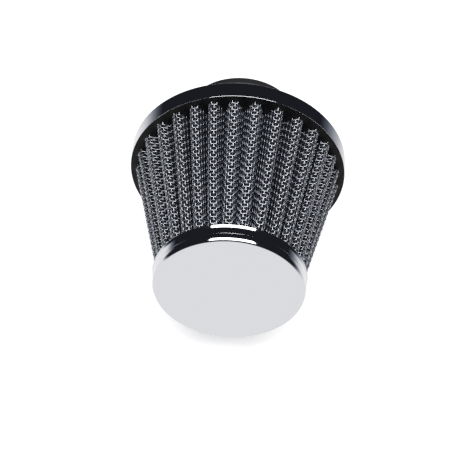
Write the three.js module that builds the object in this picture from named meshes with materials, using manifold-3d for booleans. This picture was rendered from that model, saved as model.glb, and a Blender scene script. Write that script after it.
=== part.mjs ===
// A clamp-on cone air filter for a motorcycle carburettor: a pleated cone of wire screen and cotton
// gauze, potted between a chromed cap and a rubber base with a chromed rim, and held on the
// carburettor's spigot by a worm-drive hose clamp round its neck.
//
// The filter's axis is the Y axis. The origin is the centre of the neck's mouth, +Y points out of the
// mouth, and the cap is at the far end of -Y. The clamp's screw housing is at the bottom, at -Z.

import * as THREE from "three";
import { mergeVertices } from "three/addons/utils/BufferGeometryUtils.js";
import Module from "manifold-3d";

const wasm = await Module();
wasm.setup();

// ---- Driving dimensions, in millimetres and degrees. A depth is measured from the mouth along -Y. ----

const RIM_RADIUS = 40;
const CAP_RADIUS = 27.7;
const LENGTH = 86.7;
const GAP = 0.3;

const NECK_RADIUS = 21.1;
const BORE_RADIUS = 17.5;
const RIM_BACK = 22.1;
const RIM_FRONT = 29.2;
const CAP_REAR = 80.2;

const LAND_RADIUS = 20.4;
const LAND_START = 3.2;
const LAND_END = 15.4;

const RIM_SHEET = 0.8;
const RIM_HOLE_RADIUS = 33.6;
const FLANGE_RADIUS = 38.8;
const FLANGE_THICKNESS = 3.2;
const FLARE_RADIUS = 24.5;

const CAP_SHEET = 0.8;
const CAP_EDGE = 1.35;

const PLEATS = 29;
const FIRST_PLEAT_ANGLE = 94.8;
const PLEAT_DRIFT = 1.2;
const MEDIA_START = 28.7;
const MEDIA_END = 82;
const PLEAT_AT_RIM = { tip: 38.0, depth: 5.3, ridge: 2.7, valley: 0.9 };
const PLEAT_AT_CAP = { tip: 25.5, depth: 4.4, ridge: 3.2, valley: 0.6 };

const SCREEN_THICKNESS = 0.35;
const GAUZE_THICKNESS = 0.15;
const GAUZE_LAYERS = 4;
const LAYER_GAP = 0.07;

const BAND_WIDTH = 9;
const BAND_THICKNESS = 0.6;
const BAND_DEPTH = 9.3;
const TAIL_BACK_ANGLE = 55;
const TAIL_FREE_ANGLE = 80;
const SLOT_WIDTH = 1.5;
const SLOT_LENGTH = 5.6;
const SLOTS_BEHIND = 5;
const SLOTS_AHEAD = 11;

const THREAD_PITCH = 2.5;
const THREAD_CREST = 3.6;
const THREAD_WIRE = 0.45;
const THREAD_DIP = 0.35;
const THREAD_TURNS = 3.5;
const CORE_RADIUS = 2.95;
const SHANK_RADIUS = 1.9;
const HEAD_FLATS = 7;
const HEAD_HEIGHT = 4;
const HEAD_SLOT_WIDTH = 1.1;
const HEAD_SLOT_DEPTH = 1.8;
const FOOT_RADIUS = 2.7;
const FOOT_HEIGHT = 1.2;

const HOUSING_HALF_LENGTH = 6;
const HOUSING_SHEET = 0.7;
const HOUSING_INSIDE = 4.75;

const ROUND_SEGMENTS = 60;

// ---- Derived sizes ----

const BAND_INSIDE = LAND_RADIUS + GAP;
const BAND_OUTSIDE = BAND_INSIDE + BAND_THICKNESS;
const TAIL_INSIDE = BAND_OUTSIDE + GAP;
const TAIL_OUTSIDE = TAIL_INSIDE + BAND_THICKNESS;
const SLOT_STEP = THREAD_PITCH / ((TAIL_INSIDE + TAIL_OUTSIDE) / 2);
const SCREW_RADIUS = TAIL_OUTSIDE + THREAD_CREST - THREAD_DIP;

// ---- Finishes ----

function finish(color, roughness, metalness) {
  return new THREE.MeshStandardMaterial({ color, roughness, metalness });
}

const CHROME = finish(0xd8dade, 0.08, 1);
const ZINC_STEEL = finish(0xb9bcc0, 0.35, 1);
const WIRE = finish(0x9aa0ac, 0.4, 1);
const GAUZE = finish(0x151722, 0.9, 0);
const RUBBER = finish(0x1b1b1d, 0.7, 0);
const POTTING = finish(0x0e0e10, 0.5, 0);

// ---- Geometry helpers ----

// Keeps only the positions and merges the shared vertices, so that the surface is closed.
function weld(geometry) {
  const bare = geometry.clone();
  bare.deleteAttribute("normal");
  bare.deleteAttribute("uv");
  return mergeVertices(bare, 1e-4);
}

function toSolid(geometry) {
  const welded = weld(geometry);
  return new wasm.Manifold(
    new wasm.Mesh({
      numProp: 3,
      vertProperties: new Float32Array(welded.attributes.position.array),
      triVerts: new Uint32Array(welded.index.array),
    }),
  );
}

function toGeometry(solid) {
  const mesh = solid.getMesh();
  const geometry = new THREE.BufferGeometry();
  geometry.setAttribute("position", new THREE.BufferAttribute(new Float32Array(mesh.vertProperties), 3));
  geometry.setIndex(new THREE.BufferAttribute(new Uint32Array(mesh.triVerts), 1));
  return geometry;
}

// Revolves an outline of [radius, depth] points round the filter's axis. An outline that doesn't start
// on the axis is closed on itself.
function revolve(outline, segments = ROUND_SEGMENTS) {
  const points = outline.map(([radius, depth]) => new THREE.Vector2(radius, -depth));
  if (THREE.ShapeUtils.area(points) < 0) points.reverse();
  if (points[0].x > 0 || points[points.length - 1].x > 0) points.push(points[0].clone());
  return weld(new THREE.LatheGeometry(points, segments));
}

// Extrudes an outline drawn in the plane across the filter's axis, with its second coordinate pointing
// down (-Z), between two depths.
function plateAcross(shape, nearDepth, farDepth) {
  const options = { depth: farDepth - nearDepth, bevelEnabled: false, curveSegments: 30 };
  const geometry = new THREE.ExtrudeGeometry(shape, options);
  geometry.rotateX(-Math.PI / 2);
  geometry.translate(0, -farDepth, 0);
  return weld(geometry);
}

// A cylinder or prism along X between two stations, on the screw's axis.
function barAlongScrew(radius, from, to, sides, twist = 0) {
  const geometry = new THREE.CylinderGeometry(radius, radius, to - from, sides);
  geometry.rotateY(twist);
  geometry.rotateZ(-Math.PI / 2);
  geometry.translate((from + to) / 2, -BAND_DEPTH, -SCREW_RADIUS);
  return weld(geometry);
}

function boxAt(size, centre) {
  return new THREE.BoxGeometry(...size).translate(...centre);
}

function named(name, geometry, material) {
  const mesh = new THREE.Mesh(geometry, material);
  mesh.name = name;
  return mesh;
}

// ---- Cap and base ----

function endCap() {
  const inside = CAP_RADIUS - CAP_SHEET;
  return revolve([
    [inside, CAP_REAR],
    [CAP_RADIUS - 0.25, CAP_REAR],
    [CAP_RADIUS, CAP_REAR + 0.5],
    [CAP_RADIUS, LENGTH - CAP_EDGE],
    [CAP_RADIUS - 0.4, LENGTH - 0.4],
    [CAP_RADIUS - CAP_EDGE, LENGTH],
    [0, LENGTH],
    [0, LENGTH - CAP_SHEET],
    [inside - 1, LENGTH - CAP_SHEET],
    [inside, LENGTH - CAP_SHEET - 1],
  ]);
}

function endCapPotting() {
  const radius = CAP_RADIUS - CAP_SHEET - GAP;
  const front = LENGTH - CAP_SHEET - GAP;
  return revolve([
    [0, MEDIA_END + GAP],
    [radius, MEDIA_END + GAP],
    [radius, front - 1],
    [radius - 1, front],
    [0, front],
  ]);
}

// The rim is a pressed ring: a flat back flange, a straight band and a lip rolled inwards at the front.
function baseRim() {
  const inside = RIM_RADIUS - RIM_SHEET;
  return revolve([
    [RIM_HOLE_RADIUS, RIM_BACK],
    [RIM_RADIUS - 0.8, RIM_BACK],
    [RIM_RADIUS, RIM_BACK + 0.8],
    [RIM_RADIUS, RIM_FRONT - 0.6],
    [RIM_RADIUS - 0.6, RIM_FRONT],
    [inside - 0.6, RIM_FRONT],
    [inside - 0.6, RIM_FRONT - 0.5],
    [inside, RIM_FRONT - 1],
    [inside, RIM_BACK + RIM_SHEET + 0.6],
    [inside - 0.6, RIM_BACK + RIM_SHEET],
    [RIM_HOLE_RADIUS, RIM_BACK + RIM_SHEET],
  ]);
}

// The rubber moulding: a neck with a land for the clamp, and a flange that the rim holds.
function rubberBase() {
  const back = RIM_BACK + RIM_SHEET + GAP;
  const front = back + FLANGE_THICKNESS;
  const middle = RIM_HOLE_RADIUS - GAP;
  return revolve([
    [BORE_RADIUS, 0],
    [NECK_RADIUS - 0.5, 0],
    [NECK_RADIUS, 0.5],
    [NECK_RADIUS, LAND_START - 0.5],
    [LAND_RADIUS, LAND_START],
    [LAND_RADIUS, LAND_END],
    [NECK_RADIUS, LAND_END + 0.5],
    [NECK_RADIUS + 0.6, RIM_BACK - 1],
    [NECK_RADIUS + 2, RIM_BACK],
    [middle, RIM_BACK],
    [middle, back],
    [FLANGE_RADIUS, back],
    [FLANGE_RADIUS, front],
    [FLARE_RADIUS, front],
    [FLARE_RADIUS - 4.5, front - 1.6],
    [BORE_RADIUS, front - 5.5],
  ]);
}

function basePotting() {
  const back = RIM_BACK + RIM_SHEET + FLANGE_THICKNESS + 2 * GAP;
  const front = MEDIA_START - GAP;
  return revolve([
    [FLARE_RADIUS + 1, back],
    [FLANGE_RADIUS - GAP, back],
    [FLANGE_RADIUS - GAP, front],
    [FLARE_RADIUS + 1, front],
  ]);
}

// ---- Pleated layers ----

// The pleats are spaced a little unevenly, as hand-set pleats are.
function pleatAngle(index) {
  const even = FIRST_PLEAT_ANGLE + (index * 360) / PLEATS;
  const fromTop = THREE.MathUtils.degToRad(even - 90);
  return THREE.MathUtils.degToRad(even - PLEAT_DRIFT * (1 - Math.cos(4 * fromTop)));
}

// The outer face's outline at one end: four corners for each pleat, round the whole cone.
function pleatOutline({ tip, depth, ridge, valley }) {
  const floor = tip - depth;
  const corners = [];
  const addPair = (angle, radius, width) => {
    for (const side of [-1, 1]) {
      const at = angle + (side * width) / 2 / radius;
      corners.push(new THREE.Vector2(radius * Math.cos(at), radius * Math.sin(at)));
    }
  };
  for (let index = 0; index < PLEATS; index += 1) {
    const here = pleatAngle(index);
    const next = index + 1 < PLEATS ? pleatAngle(index + 1) : pleatAngle(0) + 2 * Math.PI;
    addPair(here, tip, ridge);
    addPair((here + next) / 2, floor, valley);
  }
  return corners;
}

// Moves a closed outline inwards by a distance, keeping its corners mitred.
function inset(outline, distance) {
  const count = outline.length;
  const normal = (from, to) => {
    const along = to.clone().sub(from).normalize();
    return new THREE.Vector2(-along.y, along.x);
  };
  return outline.map((corner, index) => {
    const before = normal(outline[(index + count - 1) % count], corner);
    const after = normal(corner, outline[(index + 1) % count]);
    const mitre = before.clone().add(after).normalize();
    return corner.clone().addScaledVector(mitre, distance / mitre.dot(before));
  });
}

// One layer of the pleated cone, between two insets from the outer face.
function pleatedLayer(outerInset, thickness) {
  const rings = [];
  const ends = [
    [PLEAT_AT_RIM, MEDIA_START],
    [PLEAT_AT_CAP, MEDIA_END],
  ];
  for (const [pleat, depth] of ends) {
    for (const distance of [outerInset, outerInset + thickness]) {
      rings.push(inset(pleatOutline(pleat), distance).map((p) => [p.x, -depth, p.y]));
    }
  }
  const count = rings[0].length;
  const [rimOuter, rimInner, capOuter, capInner] = [0, 1, 2, 3].map((ring) => ring * count);
  const index = [];
  // Both faces of a layer are split along the same diagonal, so that neighbouring layers stay parallel.
  const strip = (first, second, facesOut) => {
    for (let i = 0; i < count; i += 1) {
      const j = (i + 1) % count;
      const [nearI, nearJ, farI, farJ] = [first + i, first + j, second + i, second + j];
      if (facesOut) index.push(nearI, farJ, farI, nearI, nearJ, farJ);
      else index.push(nearI, farI, farJ, nearI, farJ, nearJ);
    }
  };
  strip(rimOuter, capOuter, true);
  strip(capOuter, capInner, true);
  strip(rimInner, capInner, false);
  strip(rimInner, rimOuter, true);
  const geometry = new THREE.BufferGeometry();
  geometry.setAttribute("position", new THREE.Float32BufferAttribute(rings.flat(2), 3));
  geometry.setIndex(index);
  return geometry;
}

function pleatedLayers() {
  const meshes = [];
  let at = 0;
  const add = (name, thickness, material) => {
    meshes.push(named(name, pleatedLayer(at, thickness), material));
    at += thickness + LAYER_GAP;
  };
  add("outer_wire_screen", SCREEN_THICKNESS, WIRE);
  for (let layer = 1; layer <= GAUZE_LAYERS; layer += 1) add(`gauze_layer_${layer}`, GAUZE_THICKNESS, GAUZE);
  add("inner_wire_screen", SCREEN_THICKNESS, WIRE);
  return meshes;
}

// ---- Hose clamp ----

// A stretch of band between two angles, counted from the bottom towards +X.
function bandArc(inside, outside, fromAngle, toAngle) {
  const start = THREE.MathUtils.degToRad(90 - toAngle);
  const end = THREE.MathUtils.degToRad(90 - fromAngle);
  const shape = new THREE.Shape();
  shape.absarc(0, 0, outside, start, end, false);
  shape.absarc(0, 0, inside, end, start, true);
  shape.closePath();
  return plateAcross(shape, BAND_DEPTH - BAND_WIDTH / 2, BAND_DEPTH + BAND_WIDTH / 2);
}

function clampBand() {
  const near = BAND_DEPTH - BAND_WIDTH / 2;
  const far = BAND_DEPTH + BAND_WIDTH / 2;
  return revolve([
    [BAND_INSIDE, near],
    [BAND_OUTSIDE, near],
    [BAND_OUTSIDE, far],
    [BAND_INSIDE, far],
  ]);
}

// The band's free end, with a slot for each thread of the screw.
function clampBandTail() {
  let tail = toSolid(bandArc(TAIL_INSIDE, TAIL_OUTSIDE, -TAIL_BACK_ANGLE, TAIL_FREE_ANGLE));
  for (let slot = -SLOTS_BEHIND; slot <= SLOTS_AHEAD; slot += 1) {
    const cutter = boxAt([SLOT_WIDTH, SLOT_LENGTH, 3], [0, -BAND_DEPTH, -TAIL_OUTSIDE]);
    cutter.rotateY(-slot * SLOT_STEP);
    tail = tail.subtract(toSolid(cutter));
  }
  return toGeometry(tail);
}

// The housing's outline, seen along the screw: an arch over the screw with two straight legs.
function housingOutline(inside) {
  const shape = new THREE.Shape();
  const legEnd = SCREW_RADIUS - BAND_OUTSIDE - GAP;
  shape.moveTo(inside, -legEnd);
  shape.lineTo(inside, 0);
  shape.absarc(0, 0, inside, 0, Math.PI, false);
  shape.lineTo(-inside, -legEnd);
  shape.closePath();
  return shape;
}

// Extrudes an outline drawn across the screw, with its second coordinate pointing away from the neck.
function plateAlongScrew(shape, from, to) {
  const options = { depth: to - from, bevelEnabled: false, curveSegments: 12 };
  const geometry = new THREE.ExtrudeGeometry(shape, options);
  const turn = new THREE.Matrix4().makeBasis(
    new THREE.Vector3(0, 1, 0),
    new THREE.Vector3(0, 0, -1),
    new THREE.Vector3(-1, 0, 0),
  );
  geometry.applyMatrix4(turn);
  geometry.translate(to, -BAND_DEPTH, -SCREW_RADIUS);
  return weld(geometry);
}

function clampHousing() {
  const half = HOUSING_HALF_LENGTH;
  const outer = plateAlongScrew(housingOutline(HOUSING_INSIDE + HOUSING_SHEET), -half, half);
  const hollow = plateAlongScrew(housingOutline(HOUSING_INSIDE), HOUSING_SHEET - half, half - HOUSING_SHEET);
  const shaftHole = barAlongScrew(SHANK_RADIUS + 0.2, -half - 1, half + 1, 20);
  const wayHeight = 4;
  const wayCentre = [0, -BAND_DEPTH, wayHeight / 2 - TAIL_OUTSIDE - GAP];
  const bandWay = boxAt([2 * half + 2, 2 * HOUSING_INSIDE, wayHeight], wayCentre);
  const cutters = [hollow, shaftHole, bandWay].map(toSolid);
  return toGeometry(cutters.reduce((left, cutter) => left.subtract(cutter), toSolid(outer)));
}

// A right-handed helix along X whose turns meet the slots on the side next to the band.
class ThreadPath extends THREE.Curve {
  getPoint(t, target = new THREE.Vector3()) {
    const turns = (t - 0.5) * THREAD_TURNS;
    const angle = turns * 2 * Math.PI + Math.PI / 2;
    const radius = THREAD_CREST - THREAD_WIRE;
    const across = radius * Math.cos(angle);
    const up = radius * Math.sin(angle);
    return target.set(turns * THREAD_PITCH, across - BAND_DEPTH, up - SCREW_RADIUS);
  }
}

function clampScrew() {
  const half = HOUSING_HALF_LENGTH;
  const section = new THREE.Shape().absarc(0, 0, THREAD_WIRE, 0, 2 * Math.PI, false);
  const options = {
    steps: THREAD_TURNS * 14,
    curveSegments: 3,
    bevelEnabled: false,
    extrudePath: new ThreadPath(),
  };
  const thread = new THREE.ExtrudeGeometry(section, options);
  const coreHalf = half - HOUSING_SHEET - GAP;
  const core = barAlongScrew(CORE_RADIUS, -coreHalf, coreHalf, 20);
  const shank = barAlongScrew(SHANK_RADIUS, -half - 1, half + 1, 20);
  const foot = barAlongScrew(FOOT_RADIUS, -half - GAP - FOOT_HEIGHT, -half - GAP, 20);
  const headStart = half + GAP;
  const head = barAlongScrew(HEAD_FLATS / Math.sqrt(3), headStart, headStart + HEAD_HEIGHT, 6, Math.PI / 6);
  const slotCentre = [headStart + HEAD_HEIGHT, -BAND_DEPTH, -SCREW_RADIUS];
  const slot = boxAt([2 * HEAD_SLOT_DEPTH, 2 * HEAD_FLATS, HEAD_SLOT_WIDTH], slotCentre);
  const body = toSolid(core).add(toSolid(shank)).add(toSolid(foot)).add(toSolid(head));
  return toGeometry(body.add(toSolid(thread)).subtract(toSolid(slot)));
}

// ---- Assembly ----

const filter = new THREE.Group();
filter.add(named("end_cap", endCap(), CHROME));
filter.add(named("end_cap_potting", endCapPotting(), POTTING));
filter.add(...pleatedLayers());
filter.add(named("base_rim", baseRim(), CHROME));
filter.add(named("base_potting", basePotting(), POTTING));
filter.add(named("rubber_base", rubberBase(), RUBBER));

const clamp = new THREE.Group();
clamp.add(named("clamp_band", clampBand(), ZINC_STEEL));
clamp.add(named("clamp_band_tail", clampBandTail(), ZINC_STEEL));
clamp.add(named("clamp_housing", clampHousing(), ZINC_STEEL));
clamp.add(named("clamp_screw", clampScrew(), ZINC_STEEL));
filter.add(clamp);

export default filter;
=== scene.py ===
"""A clamp-on cone air filter: chromed cap and rim, pleated wire screen, rubber neck and hose clamp."""

import logging
import math
from dataclasses import dataclass, field
from enum import Enum
from functools import cache
from typing import Sequence

import bmesh
import bpy
import numpy as np
from mathutils import Matrix, Vector


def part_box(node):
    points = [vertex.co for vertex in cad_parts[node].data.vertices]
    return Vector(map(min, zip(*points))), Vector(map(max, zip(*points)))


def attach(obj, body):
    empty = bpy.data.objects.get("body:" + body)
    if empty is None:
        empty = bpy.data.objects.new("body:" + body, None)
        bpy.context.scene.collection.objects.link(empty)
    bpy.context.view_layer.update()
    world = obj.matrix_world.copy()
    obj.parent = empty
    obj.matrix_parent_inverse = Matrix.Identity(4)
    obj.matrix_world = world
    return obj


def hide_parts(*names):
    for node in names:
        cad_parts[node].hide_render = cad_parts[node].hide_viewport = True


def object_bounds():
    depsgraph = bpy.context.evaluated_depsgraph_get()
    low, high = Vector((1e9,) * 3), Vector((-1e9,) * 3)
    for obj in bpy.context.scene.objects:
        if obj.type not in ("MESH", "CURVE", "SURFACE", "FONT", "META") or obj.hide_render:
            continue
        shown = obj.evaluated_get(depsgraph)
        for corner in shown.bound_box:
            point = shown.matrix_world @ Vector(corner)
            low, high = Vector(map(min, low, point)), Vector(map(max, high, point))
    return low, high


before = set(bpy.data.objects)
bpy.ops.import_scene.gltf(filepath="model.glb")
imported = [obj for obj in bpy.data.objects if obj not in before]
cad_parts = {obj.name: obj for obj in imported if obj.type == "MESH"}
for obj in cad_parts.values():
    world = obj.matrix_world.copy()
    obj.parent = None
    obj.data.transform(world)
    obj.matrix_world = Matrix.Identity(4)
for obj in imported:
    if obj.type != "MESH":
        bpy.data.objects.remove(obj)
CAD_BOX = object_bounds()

# The pieces' sizes are in millimetres, and the studio's are in metres.
MM = 0.001
# An edge that turns more than this stays sharp, and points nearer than the weld are one.
SHARP_DEG = 40.0
WELD = 0.001 * MM
# The points of the screens carry how deep in a fold they are, for the wire's painted shade in the folds.
FOLD = "fold_depth"
LOG = logging.getLogger("air_filter")


class Body(Enum):
    """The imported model's bodies, which the pieces ride on."""

    FILTER = "filter"
    CLAMP = "clamp"
    SCREW = "screw"
    TAIL = "tail"


# ---------------------------------------------------------------- colours and shader nodes


def linear(hex_code: str) -> tuple[float, float, float, float]:
    """Turns an sRGB hex colour to linear, by the sRGB standard's own curve.

    Args:
        hex_code: The colour as six hex digits.

    Returns:
        Linear red, green and blue, with alpha 1.
    """
    parts = [int(hex_code[i : i + 2], 16) / 255 for i in (0, 2, 4)]
    red, green, blue = [p / 12.92 if p <= 0.04045 else ((p + 0.055) / 1.055) ** 2.4 for p in parts]
    return (red, green, blue, 1.0)


def add_node(
    tree: bpy.types.NodeTree, kind: str, settings: dict | None = None, links: dict | None = None
) -> bpy.types.Node:
    """Adds a node to a tree, with its settings and incoming links.

    Args:
        tree: The node tree.
        kind: The node's type name.
        settings: Values by property name, or by input name or number. A colour ramp's "stops" are its
            positions and sRGB hex colours.
        links: Output sockets by the name or number of the input that they feed.

    Returns:
        The new node.
    """
    node = tree.nodes.new(kind)
    for key, value in (settings or {}).items():
        if key == "stops":
            elements = node.color_ramp.elements
            while len(elements) < len(value):
                elements.new(0.5)
            for element, (position, hex_code) in zip(elements, value):
                element.position = position
                element.color = linear(hex_code)
        elif isinstance(key, str) and hasattr(node, key):
            setattr(node, key, value)
        else:
            node.inputs[key].default_value = value
    for key, socket in (links or {}).items():
        tree.links.new(socket, node.inputs[key])
    return node


@dataclass(frozen=True)
class Finish:
    """What every finish shares: its name, the record's slot, and typical surface values."""

    name: str
    slot: str
    base: str
    roughness: tuple[float, float]
    metallic: float = 0.0

    def build(self) -> bpy.types.Material:
        """Makes the material.

        Returns:
            The material, with its nodes in place.
        """
        material = bpy.data.materials.new(self.name)
        material.use_nodes = True
        tree = material.node_tree
        shader = tree.nodes["Principled BSDF"]
        shader.inputs["Base Color"].default_value = linear(self.base)
        shader.inputs["Metallic"].default_value = self.metallic
        self.dress(tree, shader)
        material.diffuse_color = linear(self.base)
        return material

    def dress(self, tree: bpy.types.NodeTree, shader: bpy.types.Node) -> None:
        """Adds the finish's own pattern to the shader."""

    def grain(
        self,
        tree: bpy.types.NodeTree,
        size_mm: float,
        detail: float,
        stretch: tuple[float, float, float] = (1.0, 1.0, 1.0),
    ) -> bpy.types.NodeSocket:
        """Adds a pattern of soft grains that have a real size.

        Args:
            tree: The node tree.
            size_mm: The size of a grain.
            detail: How many finer levels it has.
            stretch: How much shorter the grain is along X, Y and Z.

        Returns:
            The pattern's socket, from 0 to 1.
        """
        place = add_node(tree, "ShaderNodeTexCoord")
        links = {"Vector": place.outputs["Object"]}
        scaled = add_node(tree, "ShaderNodeMapping", {"Scale": stretch}, links)
        settings = {"Scale": 1 / (size_mm * MM), "Detail": detail}
        noise = add_node(tree, "ShaderNodeTexNoise", settings, {"Vector": scaled.outputs["Vector"]})
        return noise.outputs["Fac"]

    def shade(
        self,
        tree: bpy.types.NodeTree,
        shader: bpy.types.Node,
        pattern: bpy.types.NodeSocket,
        stops: Sequence[tuple[float, str]],
    ) -> None:
        """Colours the surface by a pattern.

        Args:
            tree: The node tree.
            shader: The Principled node.
            pattern: The pattern's socket.
            stops: The pattern's values and the sRGB hex colours that they give.
        """
        tint = add_node(tree, "ShaderNodeValToRGB", {"stops": stops}, {0: pattern})
        tree.links.new(tint.outputs[0], shader.inputs["Base Color"])

    def texture(
        self,
        tree: bpy.types.NodeTree,
        shader: bpy.types.Node,
        gloss: bpy.types.NodeSocket,
        relief: bpy.types.NodeSocket | None = None,
        depth_mm: float = 0.0,
    ) -> None:
        """Spreads the roughness over its range by one pattern, and raises the surface by another.

        Args:
            tree: The node tree.
            shader: The Principled node.
            gloss: The pattern that the roughness follows.
            relief: The pattern that stands up, if one does.
            depth_mm: How far it stands up.
        """
        low, high = self.roughness
        spread = add_node(tree, "ShaderNodeMapRange", {"To Min": low, "To Max": high}, {"Value": gloss})
        tree.links.new(spread.outputs["Result"], shader.inputs["Roughness"])
        if relief is not None:
            settings = {"Strength": 1.0, "Distance": depth_mm * MM}
            raised = add_node(tree, "ShaderNodeBump", settings, {"Height": relief})
            tree.links.new(raised.outputs["Normal"], shader.inputs["Normal"])


@dataclass(frozen=True)
class ChromePlate(Finish):
    """Decorative chrome over pressed steel, buffed: a black-and-white mirror with faint haze."""

    haze_mm: float = 9.0
    wave_mm: float = 6.0
    wave_depth_mm: float = 0.0015

    def dress(self, tree: bpy.types.NodeTree, shader: bpy.types.Node) -> None:
        """Adds the polishing haze and the faint waviness of pressed sheet."""
        haze = self.grain(tree, self.haze_mm, 4.0)
        self.texture(tree, shader, haze, self.grain(tree, self.wave_mm, 1.0), self.wave_depth_mm)


@dataclass(frozen=True)
class ZincStrip(Finish):
    """Bright zinc on rolled strip steel: soft grey metal with fine rolling lines and a light bloom."""

    # Real rolling lines are about 0.05 mm apart. They are drawn this coarse so that they show.
    line_mm: float = 0.25
    line_depth_mm: float = 0.006
    along_strip: tuple[float, float, float] = (0.06, 1.0, 0.06)
    bloom: str = "A9ABAE"
    bloom_mm: float = 5.0

    def dress(self, tree: bpy.types.NodeTree, shader: bpy.types.Node) -> None:
        """Adds rolling lines along the strip and a cloudy bloom.

        Args:
            tree: The node tree.
            shader: The Principled node.
        """
        lines = self.grain(tree, self.line_mm, 2.0, self.along_strip)
        bloom = self.grain(tree, self.bloom_mm, 3.0)
        self.shade(tree, shader, bloom, ((0.3, self.bloom), (0.7, self.base)))
        self.texture(tree, shader, lines, lines, self.line_depth_mm)


@dataclass(frozen=True)
class ScreenWire(Finish):
    """Drawn aluminium wire, woven: each wire catches a line of light, and painted shade darkens the
    folds.
    """

    dull: str = "BFC2CA"
    # Painted shade: the wire darkens to this colour on the valleys' floors, where the folds lie in shade.
    fold_shade: str = "A8AAB2"
    patch_mm: float = 3.0
    # Real drawing marks are some 0.03 mm apart. They are drawn this coarse so that they show.
    mark_mm: float = 0.5

    def dress(self, tree: bpy.types.NodeTree, shader: bpy.types.Node) -> None:
        """Adds the dull and bright stretches of handled wire, painted shade in the folds and the drawing
        marks.

        Args:
            tree: The node tree.
            shader: The Principled node.
        """
        patches = self.grain(tree, self.patch_mm, 3.0)
        stops = ((0.3, self.dull), (0.65, self.base))
        tint = add_node(tree, "ShaderNodeValToRGB", {"stops": stops}, {0: patches})
        # Painted shade: the deeper a point lies in its fold, the darker the wire is coloured.
        fold = add_node(tree, "ShaderNodeAttribute", {"attribute_name": FOLD})
        stops = ((0.0, "FFFFFF"), (1.0, self.fold_shade))
        shaded_folds = add_node(tree, "ShaderNodeValToRGB", {"stops": stops}, {0: fold.outputs["Fac"]})
        settings = {"data_type": "RGBA", "blend_type": "MULTIPLY", 0: 1.0}
        mix = add_node(tree, "ShaderNodeMix", settings, {6: tint.outputs[0], 7: shaded_folds.outputs[0]})
        tree.links.new(mix.outputs[2], shader.inputs["Base Color"])
        self.texture(tree, shader, self.grain(tree, self.mark_mm, 2.0))


@dataclass(frozen=True)
class CottonGauze(Finish):
    """Woven cotton gauze dyed near black: a matt cloth with an even fuzz."""

    # The crossing ribs are as fine as the cotton's fibres, so the cloth reads as fuzz. Its real threads,
    # which are about 0.3 mm apart, aren't drawn.
    rib_mm: float = 0.0542828
    rib_depth_mm: float = 0.12
    gap: str = "050608"
    fray: float = 1.2

    def dress(self, tree: bpy.types.NodeTree, shader: bpy.types.Node) -> None:
        """Adds the cloth's fine ribs, which run along and across the pleats.

        Args:
            tree: The node tree.
            shader: The Principled node.
        """
        place = add_node(tree, "ShaderNodeUVMap", {"uv_map": "cloth"})
        # The wave texture turns through 20 radians in each unit of its coordinate, here a millimetre.
        settings = {"Scale": 2 * math.pi / (20 * self.rib_mm), "Distortion": self.fray}
        ways = []
        for direction in ("X", "Y"):
            settings["bands_direction"] = direction
            wave = add_node(tree, "ShaderNodeTexWave", settings, {"Vector": place.outputs["UV"]})
            ways.append(wave.outputs["Fac"])
        higher = add_node(tree, "ShaderNodeMath", {"operation": "MAXIMUM"}, dict(enumerate(ways)))
        ribs = higher.outputs[0]
        self.shade(tree, shader, ribs, ((0.25, self.gap), (0.9, self.base)))
        self.texture(tree, shader, ribs, ribs, self.rib_depth_mm)


@dataclass(frozen=True)
class MouldedRubber(Finish):
    """Compression-moulded black rubber: satin, with a fine skin and a faint grey bloom."""

    bloom: str = "2B2B2E"
    bloom_mm: float = 7.0
    # The skin that a blasted mould leaves is 0.1 mm fine. It is drawn this coarse so that it shows.
    skin_mm: float = 0.45
    skin_depth_mm: float = 0.02

    def dress(self, tree: bpy.types.NodeTree, shader: bpy.types.Node) -> None:
        """Adds the mould's fine skin and the bloom.

        Args:
            tree: The node tree.
            shader: The Principled node.
        """
        bloom = self.grain(tree, self.bloom_mm, 4.0)
        self.shade(tree, shader, bloom, ((0.35, self.base), (0.75, self.bloom)))
        self.texture(tree, shader, bloom, self.grain(tree, self.skin_mm, 3.0), self.skin_depth_mm)


@dataclass(frozen=True)
class CastPolyurethane(Finish):
    """Cast black polyurethane: poured and cured, so it is smooth, with soft ripples."""

    shine: float = 0.25
    ripple_mm: float = 2.5
    ripple_depth_mm: float = 0.1

    def dress(self, tree: bpy.types.NodeTree, shader: bpy.types.Node) -> None:
        """Adds the pour's ripples.

        Args:
            tree: The node tree.
            shader: The Principled node.
        """
        shader.inputs["Specular IOR Level"].default_value = self.shine
        ripples = self.grain(tree, self.ripple_mm, 2.0)
        self.texture(tree, shader, ripples, ripples, self.ripple_depth_mm)


# Chrome plate, buffed: the eye sees a hard mirror, black where the room is and white where the floor is.
CHROME = ChromePlate("chrome_plate_buffed", "chrome", "DDDEE1", (0.04, 0.085), metallic=1.0)
# Zinc plate on rolled steel: a soft, even grey with a broad highlight.
ZINC = ZincStrip("zinc_plated_strip_steel", "zinc_steel", "C2C4C7", (0.22, 0.4), metallic=1.0)
# Aluminium wire, drawn and woven: a bright line along each wire over a cool grey.
WIRE = ScreenWire("aluminium_wire_woven", "wire", "D2D5DC", (0.24, 0.34), metallic=1.0)
# Cotton gauze, dyed: a dark blue-black that fills the gaps of the weave and never shines.
GAUZE = CottonGauze("cotton_gauze_dyed", "gauze", "11131B", (0.8, 0.98))
# Rubber, moulded: a warm black with a wide, dull sheen.
RUBBER = MouldedRubber("rubber_moulded", "rubber", "1D1D1F", (0.42, 0.6))
# Polyurethane, cast: a deep, quiet black that sets the ends of the pleats off.
POTTING = CastPolyurethane("polyurethane_cast", "potting", "0B0B0D", (0.5, 0.7))


@cache
def material_of(finish: Finish) -> bpy.types.Material:
    """Gives a finish's material, made once."""
    return finish.build()


# ---------------------------------------------------------------- meshes


def add_object(name: str, data: bpy.types.ID) -> bpy.types.Object:
    """Links a mesh, curve, light or camera to the scene as a new object.

    Args:
        name: The object's name.
        data: What it holds.

    Returns:
        The object.
    """
    made = bpy.data.objects.new(name, data)
    bpy.context.scene.collection.objects.link(made)
    return made


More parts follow.
